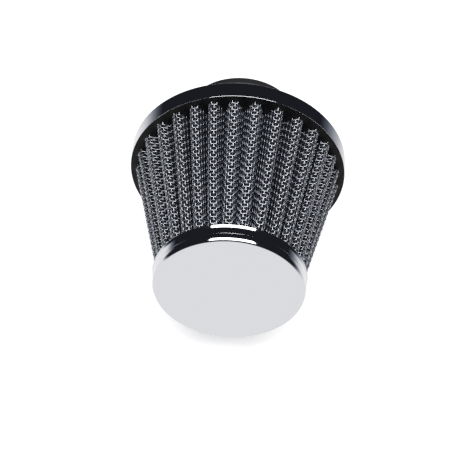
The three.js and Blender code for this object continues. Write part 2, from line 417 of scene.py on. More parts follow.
def mesh_from(
    name: str, points: np.ndarray, faces: Sequence[Sequence[int]], sharp_deg: float = SHARP_DEG
) -> bpy.types.Object:
    """Makes a smooth-shaded object whose edges over an angle stay sharp.

    Args:
        name: The object's name.
        points: Vertex positions in metres.
        faces: Vertex numbers of each face.
        sharp_deg: The angle above which an edge is sharp.

    Returns:
        The object.
    """
    mesh = bpy.data.meshes.new(name)
    mesh.from_pydata(points, [], faces)
    mesh.shade_smooth()
    mesh.set_sharp_from_angle(angle=math.radians(sharp_deg))
    return add_object(name, mesh)


def face_outwards(made: bpy.types.Object, weld: bool = False) -> None:
    """Turns all faces of a closed mesh outwards.

    Args:
        made: The object whose mesh it is.
        weld: Whether points that coincide are joined first.
    """
    work = bmesh.new()
    work.from_mesh(made.data)
    if weld:
        bmesh.ops.remove_doubles(work, verts=work.verts, dist=WELD)
    bmesh.ops.recalc_face_normals(work, faces=work.faces)
    work.to_mesh(made.data)
    work.free()


def join(name: str, parts: Sequence[bpy.types.Object]) -> bpy.types.Object:
    """Joins objects into one and removes them.

    Args:
        name: The joined object's name.
        parts: The objects, whose modifiers are applied.

    Returns:
        The joined object.
    """
    bpy.context.view_layer.update()
    graph = bpy.context.evaluated_depsgraph_get()
    work = bmesh.new()
    for part in parts:
        mesh = bpy.data.meshes.new_from_object(part.evaluated_get(graph))
        mesh.transform(part.matrix_world)
        work.from_mesh(mesh)
        bpy.data.meshes.remove(mesh)
    joined = bpy.data.meshes.new(name)
    bmesh.ops.recalc_face_normals(work, faces=work.faces)
    work.to_mesh(joined)
    work.free()
    for part in parts:
        bpy.data.objects.remove(part)
    joined.shade_smooth()
    joined.set_sharp_from_angle(angle=math.radians(SHARP_DEG))
    return add_object(name, joined)


@dataclass
class Outline:
    """A section through a round piece: points of radius and depth from the mouth, in millimetres."""

    points: list[tuple[float, float]] = field(default_factory=list)

    def to(self, *points: tuple[float, float]) -> "Outline":
        """Adds straight stretches to points.

        Args:
            points: Radius and depth of each point.

        Returns:
            The outline itself.
        """
        self.points.extend(points)
        return self

    def arc(
        self,
        centre: tuple[float, float],
        size: float | tuple[float, float],
        start: float,
        end: float,
        steps: int,
    ) -> "Outline":
        """Adds a round stretch.

        Args:
            centre: Radius and depth of the arc's centre.
            size: The arc's radius, or its half-widths along the filter's radius and its depth.
            start: Where it starts, in degrees from outwards towards the cap.
            end: Where it ends.
            steps: How many chords it has.

        Returns:
            The outline itself.
        """
        wide, deep = size if isinstance(size, tuple) else (size, size)
        for angle in np.radians(np.linspace(start, end, steps + 1)):
            self.points.append((centre[0] + wide * math.cos(angle), centre[1] + deep * math.sin(angle)))
        return self

    def supported(self, closed: bool, near: float = 0.12) -> np.ndarray:
        """Adds a point close to both ends of each long stretch, so that flats are shaded flat.

        Args:
            closed: Whether the outline closes on itself.
            near: How close the added points are.

        Returns:
            The points.
        """
        points = [np.array(p) for p in self.points]
        full = []
        for number, here in enumerate(points):
            full.append(here)
            if number + 1 == len(points) and not closed:
                break
            there = points[(number + 1) % len(points)]
            length = np.linalg.norm(there - here)
            if length > 4 * near:
                step = (there - here) * near / length
                full += [here + step, there - step]
        return np.array(full)

    def revolve(self, name: str, segments: int = 180, closed: bool = True) -> bpy.types.Object:
        """Turns the outline round the filter's axis.

        Args:
            name: The object's name.
            segments: How many steps go round.
            closed: Whether the outline closes on itself. One that doesn't starts and ends on the axis.

        Returns:
            The object.
        """
        radius, depth = self.supported(closed).T
        turn = np.linspace(0, 2 * np.pi, segments, endpoint=False)[:, None]
        count = len(radius)
        back = np.broadcast_to(-depth, (segments, count))
        ring = np.stack([radius * np.sin(turn), back, radius * np.cos(turn)], -1)
        last = count if closed else count - 1
        step = np.arange(segments)[:, None] * count
        after = (np.arange(segments)[:, None] + 1) % segments * count
        here, there = np.arange(last), (np.arange(last) + 1) % count
        quads = np.stack([step + here, step + there, after + there, after + here], -1).reshape(-1, 4)
        made = mesh_from(name, ring.reshape(-1, 3) * MM, quads)
        face_outwards(made, weld=not closed)
        return made


def tubes(paths: np.ndarray, normals: np.ndarray, radius: float, sides: int) -> tuple[np.ndarray, list]:
    """Makes round rods along paths, closed at both ends.

    Args:
        paths: Points of each path, as paths by points by 3.
        normals: The direction that stays up at each point.
        radius: The tubes' radius.
        sides: How many sides a tube has.

    Returns:
        The vertices and the faces.
    """
    along = np.gradient(paths, axis=1)
    along /= np.linalg.norm(along, axis=-1, keepdims=True)
    across = np.cross(along, normals)
    across /= np.linalg.norm(across, axis=-1, keepdims=True)
    up = np.cross(across, along)
    turn = 2 * np.pi * (np.arange(sides) + 0.5) / sides
    rings = (
        paths[:, :, None]
        + radius * np.cos(turn)[:, None] * up[:, :, None]
        + radius * np.sin(turn)[:, None] * across[:, :, None]
    )
    lines, count = paths.shape[:2]
    number = np.arange(lines * count * sides).reshape(lines, count, sides)
    turned = np.roll(number, -1, axis=2)
    quads = np.stack([number[:, :-1], number[:, 1:], turned[:, 1:], turned[:, :-1]], -1)
    ends = number[:, 0].tolist() + number[:, -1, ::-1].tolist()
    return rings.reshape(-1, 3), quads.reshape(-1, 4).tolist() + ends


def plate(
    name: str,
    outlines: Sequence[Sequence[tuple[float, float]]],
    thickness: float,
    placed: Matrix,
    edge: float = 0.12,
) -> bpy.types.Object:
    """Makes a flat plate with rounded edges from an outline and its holes.

    Args:
        name: The object's name.
        outlines: The outer outline and the holes, in millimetres.
        thickness: The plate's thickness in millimetres.
        placed: Where the middle of the plate's thickness goes, with its own Z through the plate.
        edge: The edges' rounding in millimetres.

    Returns:
        The object.
    """
    curve = bpy.data.curves.new(name, "CURVE")
    curve.dimensions = "2D"
    curve.fill_mode = "BOTH"
    curve.extrude = (thickness / 2 - edge) * MM
    curve.bevel_depth = edge * MM
    curve.bevel_resolution = 2
    curve.offset = -edge * MM
    for outline in outlines:
        spline = curve.splines.new("POLY")
        spline.points.add(len(outline) - 1)
        spline.use_cyclic_u = True
        for point, (across, up) in zip(spline.points, outline):
            point.co = (across * MM, up * MM, 0, 1)
    made = add_object(name, curve)
    made.matrix_world = placed
    return made


def arc_points(radius: float, start: float, end: float, steps: int) -> list[tuple[float, float]]:
    """Gives points of an arc about the origin, with angles in degrees."""
    angles = np.radians(np.linspace(start, end, steps + 1))
    return [(radius * math.cos(a), radius * math.sin(a)) for a in angles]


def finish_piece(
    piece: bpy.types.Object, finish: Finish, body: Body, nodes: Sequence[str]
) -> bpy.types.Object:
    """Gives a piece its finish, its body and the CAD nodes that it stands for.

    Args:
        piece: The piece.
        finish: Its finish.
        body: The body that it rides on.
        nodes: The CAD nodes that it replaces.

    Returns:
        The piece.
    """
    piece.data.materials.clear()
    piece.data.materials.append(material_of(finish))
    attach(piece, body.value)
    if nodes:
        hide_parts(*nodes)
    return piece


def span(node: str) -> tuple[float, float, float]:
    """Gives a round node's radius, and its nearest and farthest depth from the mouth, in millimetres."""
    low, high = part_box(node)
    return (high[0] / MM, -high[1] / MM, -low[1] / MM)


# ---------------------------------------------------------------- pleats


@dataclass(frozen=True)
class PleatEnd:
    """One end of the pleated cone, in millimetres: where it is, and its pleats' sizes."""

    depth: float
    tip: float
    fold: float
    ridge: float
    valley: float

    @property
    def floor(self) -> float:
        """The radius of the valleys' floors."""
        return self.tip - self.fold


@dataclass
class Pleats:
    """The pleated cone's shape. Every layer of it is a surface at its own inset from the outer face."""

    count: int = 29
    first_angle: float = 94.8
    drift: float = 1.2
    ridge_cells: float = 2.4
    flank_cells: float = 3.4
    valley_cells: float = 0.8
    fine: int = 12
    bow_deg: float = 0.45
    seed: int = 7
    rim: PleatEnd = field(init=False)
    cap: PleatEnd = field(init=False)

    def __post_init__(self) -> None:
        """Takes the cone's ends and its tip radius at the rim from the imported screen."""
        tip, start, end = span("outer_wire_screen")
        self.rim = PleatEnd(start, tip, fold=5.3, ridge=2.7, valley=0.9)
        self.cap = PleatEnd(end, tip=25.5, fold=4.4, ridge=3.2, valley=0.6)
        draw = np.random.default_rng(self.seed)
        self.bow = draw.uniform(-1, 1, self.count) * math.radians(self.bow_deg)

    @property
    def cells(self) -> int:
        """How many cells of mesh one pleat has from ridge to ridge."""
        return round(self.ridge_cells + 2 * self.flank_cells + self.valley_cells)

    @property
    def around(self) -> int:
        """How many cells of mesh go round the whole cone."""
        return self.cells * self.count

    def angle(self, index: np.ndarray) -> np.ndarray:
        """Gives the angle of each pleat's ridge, whose spacing drifts as on hand-set pleats."""
        even = np.radians(self.first_angle + index * 360 / self.count)
        return even - math.radians(self.drift) * (1 - np.cos(4 * (even - math.pi / 2)))

    def corners(self, end: PleatEnd, inset: float) -> np.ndarray:
        """Gives the section's sharp corners at one end.

        Args:
            end: Which end.
            inset: How far inwards from the outer face.

        Returns:
            Four corners for each pleat.
        """
        here = self.angle(np.arange(self.count))
        after = np.append(here[1:], here[0] + 2 * np.pi)
        pairs = []
        for angle, radius, width in (
            (here, end.tip, end.ridge),
            ((here + after) / 2, end.floor, end.valley),
        ):
            for side in (-1, 1):
                at = angle + side * width / 2 / radius
                pairs.append(np.stack([radius * np.cos(at), radius * np.sin(at)], -1))
        corners = np.stack(pairs, 1).reshape(-1, 2)
        along = np.roll(corners, -1, 0) - corners
        along /= np.linalg.norm(along, axis=1, keepdims=True)
        inward = np.stack([-along[:, 1], along[:, 0]], -1)
        before = np.roll(inward, 1, 0)
        mitre = inward + before
        mitre /= np.linalg.norm(mitre, axis=1, keepdims=True)
        return corners + mitre * (inset / np.sum(mitre * inward, axis=1, keepdims=True))

    def rounded(self, end: PleatEnd, inset: float, soft: float) -> np.ndarray:
        """Gives the section as a fine closed curve with rounded folds.

        Args:
            end: Which end.
            inset: How far inwards from the outer face.
            soft: How far a fold's rounding reaches, in cells.

        Returns:
            Points, evenly spaced in cells.
        """
        steps = np.array([self.ridge_cells, self.flank_cells, self.valley_cells, self.flank_cells])
        knots = np.concatenate([[0], np.cumsum(np.tile(steps, self.count))]) - self.ridge_cells / 2
        corners = self.corners(end, inset)
        corners = np.vstack([corners, corners[:1]])
        at = np.arange(self.around * self.fine) / self.fine - self.ridge_cells / 2
        curve = np.stack([np.interp(at, knots, corners[:, axis]) for axis in (0, 1)], -1)
        reach = np.arange(-3 * self.fine, 3 * self.fine + 1)
        weight = np.exp(-0.5 * (reach / (soft * self.fine)) ** 2)
        weight /= weight.sum()
        smooth = sum(w * np.roll(curve, r, 0) for r, w in zip(reach, weight))
        count = len(smooth)
        wanted = np.arange(count) + self.ridge_cells / 2 * self.fine
        return np.stack([np.interp(wanted, np.arange(2 * count), np.tile(v, 2)) for v in smooth.T], -1)

    def cut(self, inset: float, soft: float) -> tuple[float, float, float]:
        """Gives the flat size of the tapered strip that folds into one layer.

        Args:
            inset: How far inwards from the outer face.
            soft: How far a fold's rounding reaches, in cells.

        Returns:
            Its long edge, its short edge and its length, in metres.
        """
        rim, cap = [self.rounded(end, inset, soft) for end in (self.rim, self.cap)]
        edges = [np.linalg.norm(np.roll(end, -1, 0) - end, axis=1).sum() * MM for end in (rim, cap)]
        lean = np.linalg.norm(rim - cap, axis=1).mean()
        return edges[0], edges[1], math.hypot(lean, self.cap.depth - self.rim.depth) * MM

    def fold_at(self, cell: np.ndarray) -> np.ndarray:
        """Gives how deep in a fold each place is.

        Args:
            cell: Where round the cone, in cells from the first ridge.

        Returns:
            Depths from 0 on a ridge to 1 on a valley's floor.
        """
        within = np.mod(cell, self.cells)
        aside = np.minimum(within, self.cells - within) - self.ridge_cells / 2
        return np.clip(aside / self.flank_cells, 0, 1)

    def surface(
        self, cell: np.ndarray, depth: np.ndarray, inset: float, soft: float
    ) -> tuple[np.ndarray, np.ndarray]:
        """Gives points and outward directions of one layer.

        Args:
            cell: Where round the cone, in cells from the first ridge.
            depth: How far from the mouth, in millimetres.
            inset: How far inwards from the outer face.
            soft: How far a fold's rounding reaches, in cells.

        Returns:
            The points in millimetres and the unit normals, shaped as cell and depth broadcast.
        """
        cell, depth = np.broadcast_arrays(cell, depth)
        share = ((depth - self.rim.depth) / (self.cap.depth - self.rim.depth))[..., None]
        ends = [self.rounded(end, inset, soft) for end in (self.rim, self.cap)]
        slopes = [(np.roll(e, -1, 0) - np.roll(e, 1, 0)) for e in ends]
        number = self.around * self.fine
        exact = np.mod(cell * self.fine, number)
        low = np.floor(exact).astype(int) % number
        part = (exact - np.floor(exact))[..., None]

        def read(tables: list[np.ndarray]) -> np.ndarray:
            """Reads a table at each end and mixes them along the cone."""
            rim, cap = [t[low] * (1 - part) + t[(low + 1) % number] * part for t in tables]
            return rim * (1 - share) + cap * share

        flat = read(ends)
        slope = read(slopes)
        pleat = cell / self.cells
        near = np.floor(pleat).astype(int)
        blend = pleat - near
        bow = self.bow[near % self.count] * (1 - blend) + self.bow[(near + 1) % self.count] * blend
        lean = bow * np.sin(np.pi * np.clip(share[..., 0], 0, 1))
        cos, sin = np.cos(lean), np.sin(lean)

        def turned(values: np.ndarray) -> np.ndarray:
            """Leans each pleat a little, most in the middle of its length."""
            across, up = values[..., 0], values[..., 1]
            return np.stack([across * cos - up * sin, across * sin + up * cos], -1)

        flat, slope = turned(flat), turned(slope)
        out = np.stack([slope[..., 1], np.zeros(cell.shape), -slope[..., 0]], -1)
        out /= np.linalg.norm(out, axis=-1, keepdims=True)
        points = np.stack([flat[..., 0], -depth, flat[..., 1]], -1)
        return points, out


@dataclass
class WireScreen:
    """A plain-woven screen that follows the pleats: straight warps along the cone, wefts round it."""

    pleats: Pleats
    name: str
    node: str
    inset: float
    soft: float
    # Real wire of this mesh is 0.25 to 0.3 mm thick. It is drawn 0.37 mm thick, so that it shows.
    wire: float = 0.185
    weft_pitch: float = 1.32
    sway: float = 1.15
    sides: int = 6
    samples: int = 2
    sectors: int = 6
    wander: float = 0.2
    margin: float = 0.25
    overrun: float = 0.8

    @property
    def rows(self) -> int:
        """How many wefts fit along the cone."""
        length = self.pleats.cap.depth - self.pleats.rim.depth - 2 * self.margin
        return round(length / self.weft_pitch) + 1

    def depth_of(self, row: np.ndarray, cell: np.ndarray) -> np.ndarray:
        """Gives a weft row's depth, which wanders slightly in slow waves round the cone.

        Args:
            row: Where along the cone, in weft rows.
            cell: Where round it, in cells.

        Returns:
            The depth from the mouth in millimetres.
        """
        start, end = self.pleats.rim.depth + self.margin, self.pleats.cap.depth - self.margin
        share = row / (self.rows - 1)
        turn = 2 * np.pi * cell / self.pleats.around
        wander = self.wander * (np.sin(3 * turn + 1.0) + 0.6 * np.sin(7 * turn))
        return start + (end - start) * share + wander * np.sin(np.pi * np.clip(share, 0, 1))

    def woven(
        self, cell: np.ndarray, row: np.ndarray, lift: np.ndarray
    ) -> tuple[np.ndarray, np.ndarray]:
        """Places points of the weave.

        Args:
            cell: Where round the cone, in cells.
            row: Where along it, in weft rows.
            lift: How far outwards, in wire radii.

        Returns:
            The points in metres and their outward directions.
        """
        points, out = self.pleats.surface(cell, self.depth_of(row, cell), self.inset, self.soft)
        return (points + out * (lift * self.wire * self.sway)[..., None]) * MM, out

    def build(self) -> list[bpy.types.Object]:
        """Weaves the screen, in sectors.

        Returns:
            The sectors.
        """
        rows = self.rows
        overrun = self.overrun * self.margin / self.weft_pitch
        fine_rows = np.arange((rows - 1) * self.samples + 1) / self.samples
        fine_rows = np.concatenate([[-overrun], fine_rows, [rows - 1 + overrun]])
        made = []
        every = np.arange(self.pleats.around) - self.pleats.around // 2
        for number, warps in enumerate(np.array_split(every, self.sectors)):
            cell = (warps + 0.5)[:, None]
            lift = np.cos(np.pi * (fine_rows + warps[:, None]))
            warp_paths = self.woven(cell, fine_rows[None], lift)
            ends = np.arange(warps[0] * self.samples, (warps[-1] + 1) * self.samples + 1) / self.samples
            row = np.arange(rows)[:, None]
            lift = -np.cos(np.pi * (row + ends[None] - 0.5))
            weft_paths = self.woven(ends[None], row.astype(float), lift)
            points, faces = tubes(*warp_paths, self.wire * MM, self.sides)
            more, more_faces = tubes(*weft_paths, self.wire * MM, self.sides)
            faces += [[corner + len(points) for corner in face] for face in more_faces]
            points = np.vstack([points, more])
            piece = mesh_from(f"{self.name}_{number + 1}", points, faces, sharp_deg=180)
            # How deep each point lies in its fold, which the wire's finish turns into painted shade.
            warp_fold = np.repeat(self.pleats.fold_at(cell), len(fine_rows) * self.sides)
            weft_fold = np.tile(np.repeat(self.pleats.fold_at(ends), self.sides), rows)
            layer = piece.data.attributes.new(FOLD, "FLOAT", "POINT")
            layer.data.foreach_set("value", np.concatenate([warp_fold, weft_fold]).astype(np.float32))
            made.append(finish_piece(piece, WIRE, Body.FILTER, [self.node]))
        return made


@dataclass
class GauzePlies:
    """The plies of cotton gauze between the two screens."""

    pleats: Pleats
    plies: int = 4
    first_inset: float = 0.42
    spacing: float = 0.22
    thickness: float = 0.15
    soft: float = 0.5
    soft_step: float = 0.08
    rows: int = 14
    point_gap: float = 0.62

    def build(self) -> list[bpy.types.Object]:
        """Makes each ply as a thin closed layer.

        Returns:
            The plies.
        """
        made = []
        for ply in range(self.plies):
            inset = self.first_inset + ply * self.spacing
            soft = self.soft - self.soft_step * ply
            cells = np.arange(self.pleats.around * 2)[None] / 2
            depths = np.linspace(self.pleats.rim.depth, self.pleats.cap.depth, self.rows)
            faces = []
            for depth_inset, order in ((inset, depths), (inset + self.thickness, depths[::-1])):
                faces.append(self.pleats.surface(cells, order[:, None], depth_inset, soft)[0])
            loops = np.concatenate(faces)
            rings, count = loops.shape[:2]
            number = np.arange(rings * count).reshape(rings, count)
            below, beside = np.roll(number, -1, 0), np.roll(number, -1, 1)
            corner = np.roll(below, -1, 1)
            quads = np.stack([number, beside, corner, below], -1).reshape(-1, 4)
            piece = mesh_from(f"gauze_ply_{ply + 1}", loops.reshape(-1, 3) * MM, quads, sharp_deg=60)
            self.lay_cloth(piece, rings, count)
            finish_piece(piece, GAUZE, Body.FILTER, [f"gauze_layer_{ply + 1}"])
            wide, narrow, length = self.pleats.cut(inset + self.thickness / 2, soft)
            made.append(piece)
        return made

    def lay_cloth(self, piece: bpy.types.Object, rings: int, count: int) -> None:
        """Lays a map on a ply that runs along and across the pleats, in millimetres of cloth.

        Args:
            piece: The ply.
            rings: How many rings its mesh has.
            count: How many points each ring has.
        """
        layer = piece.data.uv_layers.new(name="cloth")
        quad = np.arange(rings * count)
        ring, place = quad // count, quad % count
        step = (self.pleats.cap.depth - self.pleats.rim.depth) / (self.rows - 1)
        across = np.stack([place, place + 1, place + 1, place], -1) * self.point_gap
        along = np.stack([ring, ring, ring + 1, ring + 1], -1) * step
        layer.data.foreach_set("uv", np.stack([across, along], -1).ravel().astype(np.float32))


@dataclass
class Potting:
    """A cast ring or disc that the pleat ends stand in. Its face rises a little against the pleats."""

    pleats: Pleats
    name: str
    node: str
    back: float
    face: float
    inner: float
    outer: float
    creep: float = 0.7
    reach: float = 0.55
    soft: float = 0.5
    turns_per_pleat: int = 20
    rings: int = 30

    def build(self) -> list[bpy.types.Object]:
        """Makes the casting.

        Returns:
            The piece.
        """
        turns = self.pleats.count * self.turns_per_pleat
        radii = np.linspace(self.inner, self.outer, self.rings)
        turn = np.linspace(0, 2 * np.pi, turns, endpoint=False)[:, None]
        across, up = radii * np.cos(turn), radii * np.sin(turn)
        cells = np.arange(self.pleats.around * 2) / 2
        wall = self.pleats.surface(cells, np.full(len(cells), self.face), 0.0, self.soft)[0][:, [0, 2]]
        grid = np.stack([across, up], -1).reshape(-1, 2)
        gap = np.array([np.min(np.hypot(*(wall - point).T)) for point in grid]).reshape(turns, -1)
        towards = 1.0 if self.face > self.back else -1.0
        depth = self.face + towards * self.creep * np.exp(-gap / self.reach)
        top = np.stack([across, -depth, up], -1)
        base = np.stack([across, np.full_like(across, -self.back), up], -1)
        loops = np.concatenate([top, base[:, ::-1]], 1)
        count = loops.shape[1]
        number = np.arange(turns * count).reshape(turns, count)
        beside, after = np.roll(number, -1, 1), np.roll(number, -1, 0)
        quads = np.stack([number, beside, np.roll(after, -1, 1), after], -1).reshape(-1, 4)
        piece = mesh_from(self.name, loops.reshape(-1, 3) * MM, quads)
        face_outwards(piece)
        return [finish_piece(piece, POTTING, Body.FILTER, [self.node])]


# ---------------------------------------------------------------- cap, rim and base


@dataclass
class EndCap:
    """The chromed cap: a deep-drawn cup with a flared rear edge, a fine line and a soft shoulder."""

    sheet: float = 0.8
    waist: float = 0.38
    skirt: float = 0.4
    flare_deg: float = 26.0
    flare_reach: float = 1.2
    flare_bend: float = 0.5
    edge: float = 0.2
    shoulder: float = 1.8
    brow: float = 0.7
    brow_deg: float = 50.0
    line_depth: float = 3.0
    line_half: float = 0.2
    line_dip: float = 0.0212
    corner: tuple[float, float] = (1.0, 1.2)

    def build(self) -> list[bpy.types.Object]:
        """Makes the cap.

        Returns:
            The piece.
        """
        radius, rear, face = span("end_cap")
        rear -= self.skirt
        band = radius - self.waist
        inside, under = band - self.sheet, face - self.sheet
        turn = math.radians(self.brow_deg)
        drop = (self.shoulder - self.brow) * math.sin(turn) + self.brow
        run = (self.shoulder - self.brow) * math.cos(turn) - self.shoulder
        outline = Outline().to((0, face))
        outline.arc((band + run, face - self.brow), self.brow, 90, self.brow_deg, 5)
        outline.arc((band - self.shoulder, face - drop), self.shoulder, self.brow_deg, 0, 14)
        for step in np.linspace(1, -1, 11):
            dip = self.line_dip * (1 + math.cos(math.pi * step))
            outline.to((band - dip, face - self.line_depth + self.line_half * step))
        bend = (band + self.flare_bend, rear + self.flare_reach)
        outline.arc(bend, self.flare_bend, 180, 180 + self.flare_deg, 5)
        outline.arc((radius - self.edge, rear + self.edge), self.edge, self.flare_deg, -90, 8)
        outline.to((inside, rear), (inside, under - self.corner[1]))
        outline.to((inside - self.corner[0], under), (0, under))
        piece = outline.revolve("end_cap_pressing", segments=240, closed=False)
        return [finish_piece(piece, CHROME, Body.FILTER, ["end_cap"])]


@dataclass
class BaseRim:
    """The chromed rim: a pressed ring with a flat back, a straight band and a rolled front lip."""

    sheet: float = 0.8
    hole: float = 33.6
    hole_edge: float = 0.15
    back_edge: float = 0.9
    lip: float = 0.12
    hem: tuple[float, float] = (1.2, 1.5)
    corner: float = 0.6

    def build(self) -> list[bpy.types.Object]:
        """Makes the rim.

        Returns:
            The piece.
        """
        radius, back, front = span("base_rim")
        inside, floor = radius - self.sheet, back + self.sheet
        outline = Outline().to((self.hole, back + self.hole_edge), (self.hole + self.hole_edge, back))
        outline.arc((radius - self.back_edge, back + self.back_edge), self.back_edge, -90, 0, 8)
        outline.arc((radius - self.lip, front - self.lip), self.lip, 0, 180, 16)
        outline.to((radius - 2 * self.lip, front - self.hem[0]), (inside, front - self.hem[1]))
        outline.to((inside, floor + self.corner), (inside - self.corner, floor), (self.hole, floor))
        piece = outline.revolve("base_rim_pressing", segments=240)
        return [finish_piece(piece, CHROME, Body.FILTER, ["base_rim"])]


@dataclass
class RubberBase:
    """The moulded base: a neck with a land for the clamp and grip rings in its bore, and a flange."""

    bore: float = 17.5
    neck: float = 21.1
    mouth_edge: float = 0.5
    neck_edge: float = 0.7
    land: float = 20.4
    land_start: float = 3.2
    land_end: float = 15.4
    land_edge: float = 0.35
    land_slope: float = 0.1
    fillet: float = 2.6
    middle: float = 33.3
    middle_edge: float = 0.4
    flange_depth: float = 3.2
    step_depth: float = 1.1
    throat: tuple[float, float] = (24.5, 5.5)
    grip_rings: int = 4
    grip_first: float = 14.5
    grip_spacing: float = 3.0
    grip: tuple[float, float] = (0.3, 0.45)

    def build(self) -> list[bpy.types.Object]:
        """Makes the base.

        Returns:
            The piece.
        """
        flange, mouth, front = span("rubber_base")
        back = front - self.flange_depth
        step = back - self.step_depth
        shelf = self.neck - self.land_edge
        outline = Outline()
        outline.arc((self.bore + self.mouth_edge, mouth + self.mouth_edge), self.mouth_edge, 180, 270, 4)
        outline.arc((self.neck - self.neck_edge, mouth + self.neck_edge), self.neck_edge, -90, 0, 6)
        outline.arc((shelf, self.land_start - self.land_edge), self.land_edge, 0, 70, 4)
        for depth in (self.land_start + self.land_slope, self.land_end - self.land_slope):
            outline.to((self.land, depth))
        outline.arc((shelf, self.land_end + self.land_edge + self.land_slope), self.land_edge, -70, 0, 4)
        outline.arc((self.neck + self.fillet, step - self.fillet), self.fillet, 180, 90, 8)
        edge = self.middle_edge
        outline.arc((self.middle - edge, step + edge), edge, -90, 0, 4)
        outline.to((self.middle, back), (flange, back), (flange, front))
        wide, deep = self.throat
        outline.arc((wide, front - deep), (wide - self.bore, deep), 90, 180, 12)
        for ring in range(self.grip_rings):
            outline.arc((self.bore, self.grip_first - ring * self.grip_spacing), self.grip, 90, 270, 6)
        piece = outline.revolve("rubber_base_moulding", segments=180)
        return [finish_piece(piece, RUBBER, Body.FILTER, ["rubber_base"])]


# ---------------------------------------------------------------- hose clamp


@dataclass
class HoseClamp:
    """The worm-drive clamp: a loop of strip, its slotted free end, a pressed housing and the screw."""

    width: float = 9.0
    strip: float = 0.6
    strip_edge: float = 0.2
    middle: float = 9.3
    gap: float = 0.3

    # The free end, with a slot for each turn of the thread.
    slots_behind: int = 5
    slots_ahead: int = 11
    slot_width: float = 1.5
    slot_length: float = 5.6
    back_angle: float = 55.0
    free_angle: float = 80.0
    end_corner: float = 2.2
    bend_step: float = 1.0

    # The housing, whose bearing ends hold the screw.
    housing_length: float = 12.0
    housing_inside: float = 4.75
    housing_sheet: float = 0.7
    bearing: float = 2.15
    bearing_inset: float = 0.4
    bearing_lift: float = 0.35
    rib_width: float = 1.3
    rib_rise: float = 0.35
    rib_root: float = 0.2
    rib_place: float = 0.55
    rib_short: float = 1.0

    # The screw, whose thread reaches a little way into the slots.
    pitch: float = 2.5
    crest: float = 3.6
    root: float = 2.9
    bite: float = 0.35
    shank: float = 1.9
    foot: float = 2.7
    foot_length: float = 1.2
    washer: float = 3.8
    washer_thickness: float = 0.6
    flats: float = 7.0
    driver_slot: float = 1.1
    driver_depth: float = 1.6

    loop: float = field(init=False)
    tail: float = field(init=False)
    screw: float = field(init=False)
    screw_start: float = field(init=False)
    screw_end: float = field(init=False)

    def __post_init__(self) -> None:
        """Takes the loop's radius and the screw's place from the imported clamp."""
        self.loop = span("clamp_band")[0]
        low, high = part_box("clamp_screw")
        self.tail = self.loop + self.gap
        self.screw = self.tail + self.strip + self.crest - self.bite
        self.screw_end = high[0] / MM
        self.screw_start = low[0] / MM

    def across_screw(self, station: float) -> Matrix:
        """Gives a frame across the screw: its X along the filter, its Y away from the neck."""
        turn = Matrix(((0, 0, -1), (1, 0, 0), (0, -1, 0))).to_4x4()
        return Matrix.Translation(Vector((station, -self.middle, -self.screw)) * MM) @ turn

    def disc(self, radius: float, facets: int = 32) -> list[tuple[float, float]]:
        """Gives a round outline about the screw's axis."""
        return arc_points(radius, 0, 360, facets)[:-1]

    def build_loop(self) -> bpy.types.Object:
        """Makes the loop of strip, with its edges rounded by the slitting rolls.

        Returns:
            The piece.
        """
        edge = self.strip_edge
        inner, outer = self.loop - self.strip + edge, self.loop - edge
        near, far = self.middle - self.width / 2 + edge, self.middle + self.width / 2 - edge
        corners = ((inner, near, 180), (outer, near, 270), (outer, far, 0), (inner, far, 90))
        outline = Outline()
        for across, deep, start in corners:
            outline.arc((across, deep), edge, start, start + 90, 3)
        piece = outline.revolve("clamp_band_loop", segments=144)
        return finish_piece(piece, ZINC, Body.CLAMP, ["clamp_band"])

    def strip_outlines(self, back: float, reach: float) -> list[list[tuple[float, float]]]:
        """Gives the free end's outline and its slots, laid flat.

        Args:
            back: Where the strip starts, along it from the screw.
            reach: Where it ends.

        Returns:
            The outer outline and then the holes.
        """
        half, corner = self.width / 2, self.end_corner
        outline = [(back, -half), (reach - corner, -half)]
        for side, start in ((-1, -90), (1, 0)):
            rounded = arc_points(corner, start, start + 90, 6)
            outline += [(reach - corner + x, side * (half - corner) + y) for x, y in rounded]
        outlines = [outline + [(reach - corner, half), (back, half)]]
        end = self.slot_width / 2
        tip = self.slot_length / 2 - end
        for slot in range(-self.slots_behind, self.slots_ahead + 1):
            centre = slot * self.pitch
            hole = [(centre + x, tip + y) for x, y in arc_points(end, 0, 180, 6)]
            hole += [(centre + x, -tip + y) for x, y in arc_points(end, 180, 360, 6)]
            outlines.append(hole)
        return outlines

    def build_tail(self) -> bpy.types.Object:
        """Makes the slotted free end, bent round the loop.

        Returns:
            The piece.
        """
        radius = self.tail + self.strip / 2
        back, reach = (math.radians(a) * radius for a in (-self.back_angle, self.free_angle))
        flat = plate("strip", self.strip_outlines(back, reach), self.strip, Matrix.Identity(4))
        strip = join("clamp_band_free_end", [flat])
        work = bmesh.new()
        work.from_mesh(strip.data)
        for place in np.arange(back + self.bend_step, reach, self.bend_step):
            everything = work.verts[:] + work.edges[:] + work.faces[:]
            bmesh.ops.bisect_plane(work, geom=everything, plane_co=(place * MM, 0, 0), plane_no=(1, 0, 0))
        for vertex in work.verts:
            along, across, up = vertex.co / MM
            angle = along / radius
            out = radius + up
            bent = (out * math.sin(angle), across - self.middle, -out * math.cos(angle))
            vertex.co = Vector(bent) * MM
        bmesh.ops.recalc_face_normals(work, faces=work.faces)
        work.to_mesh(strip.data)
        work.free()
        return finish_piece(strip, ZINC, Body.TAIL, ["clamp_band_tail"])

    def arch(self, inside: float, foot: float) -> list[tuple[float, float]]:
        """Gives an arch over the screw whose legs end at a distance towards the neck."""
        return [(inside, -foot), *arc_points(inside, 0, 180, 24), (-inside, -foot)]

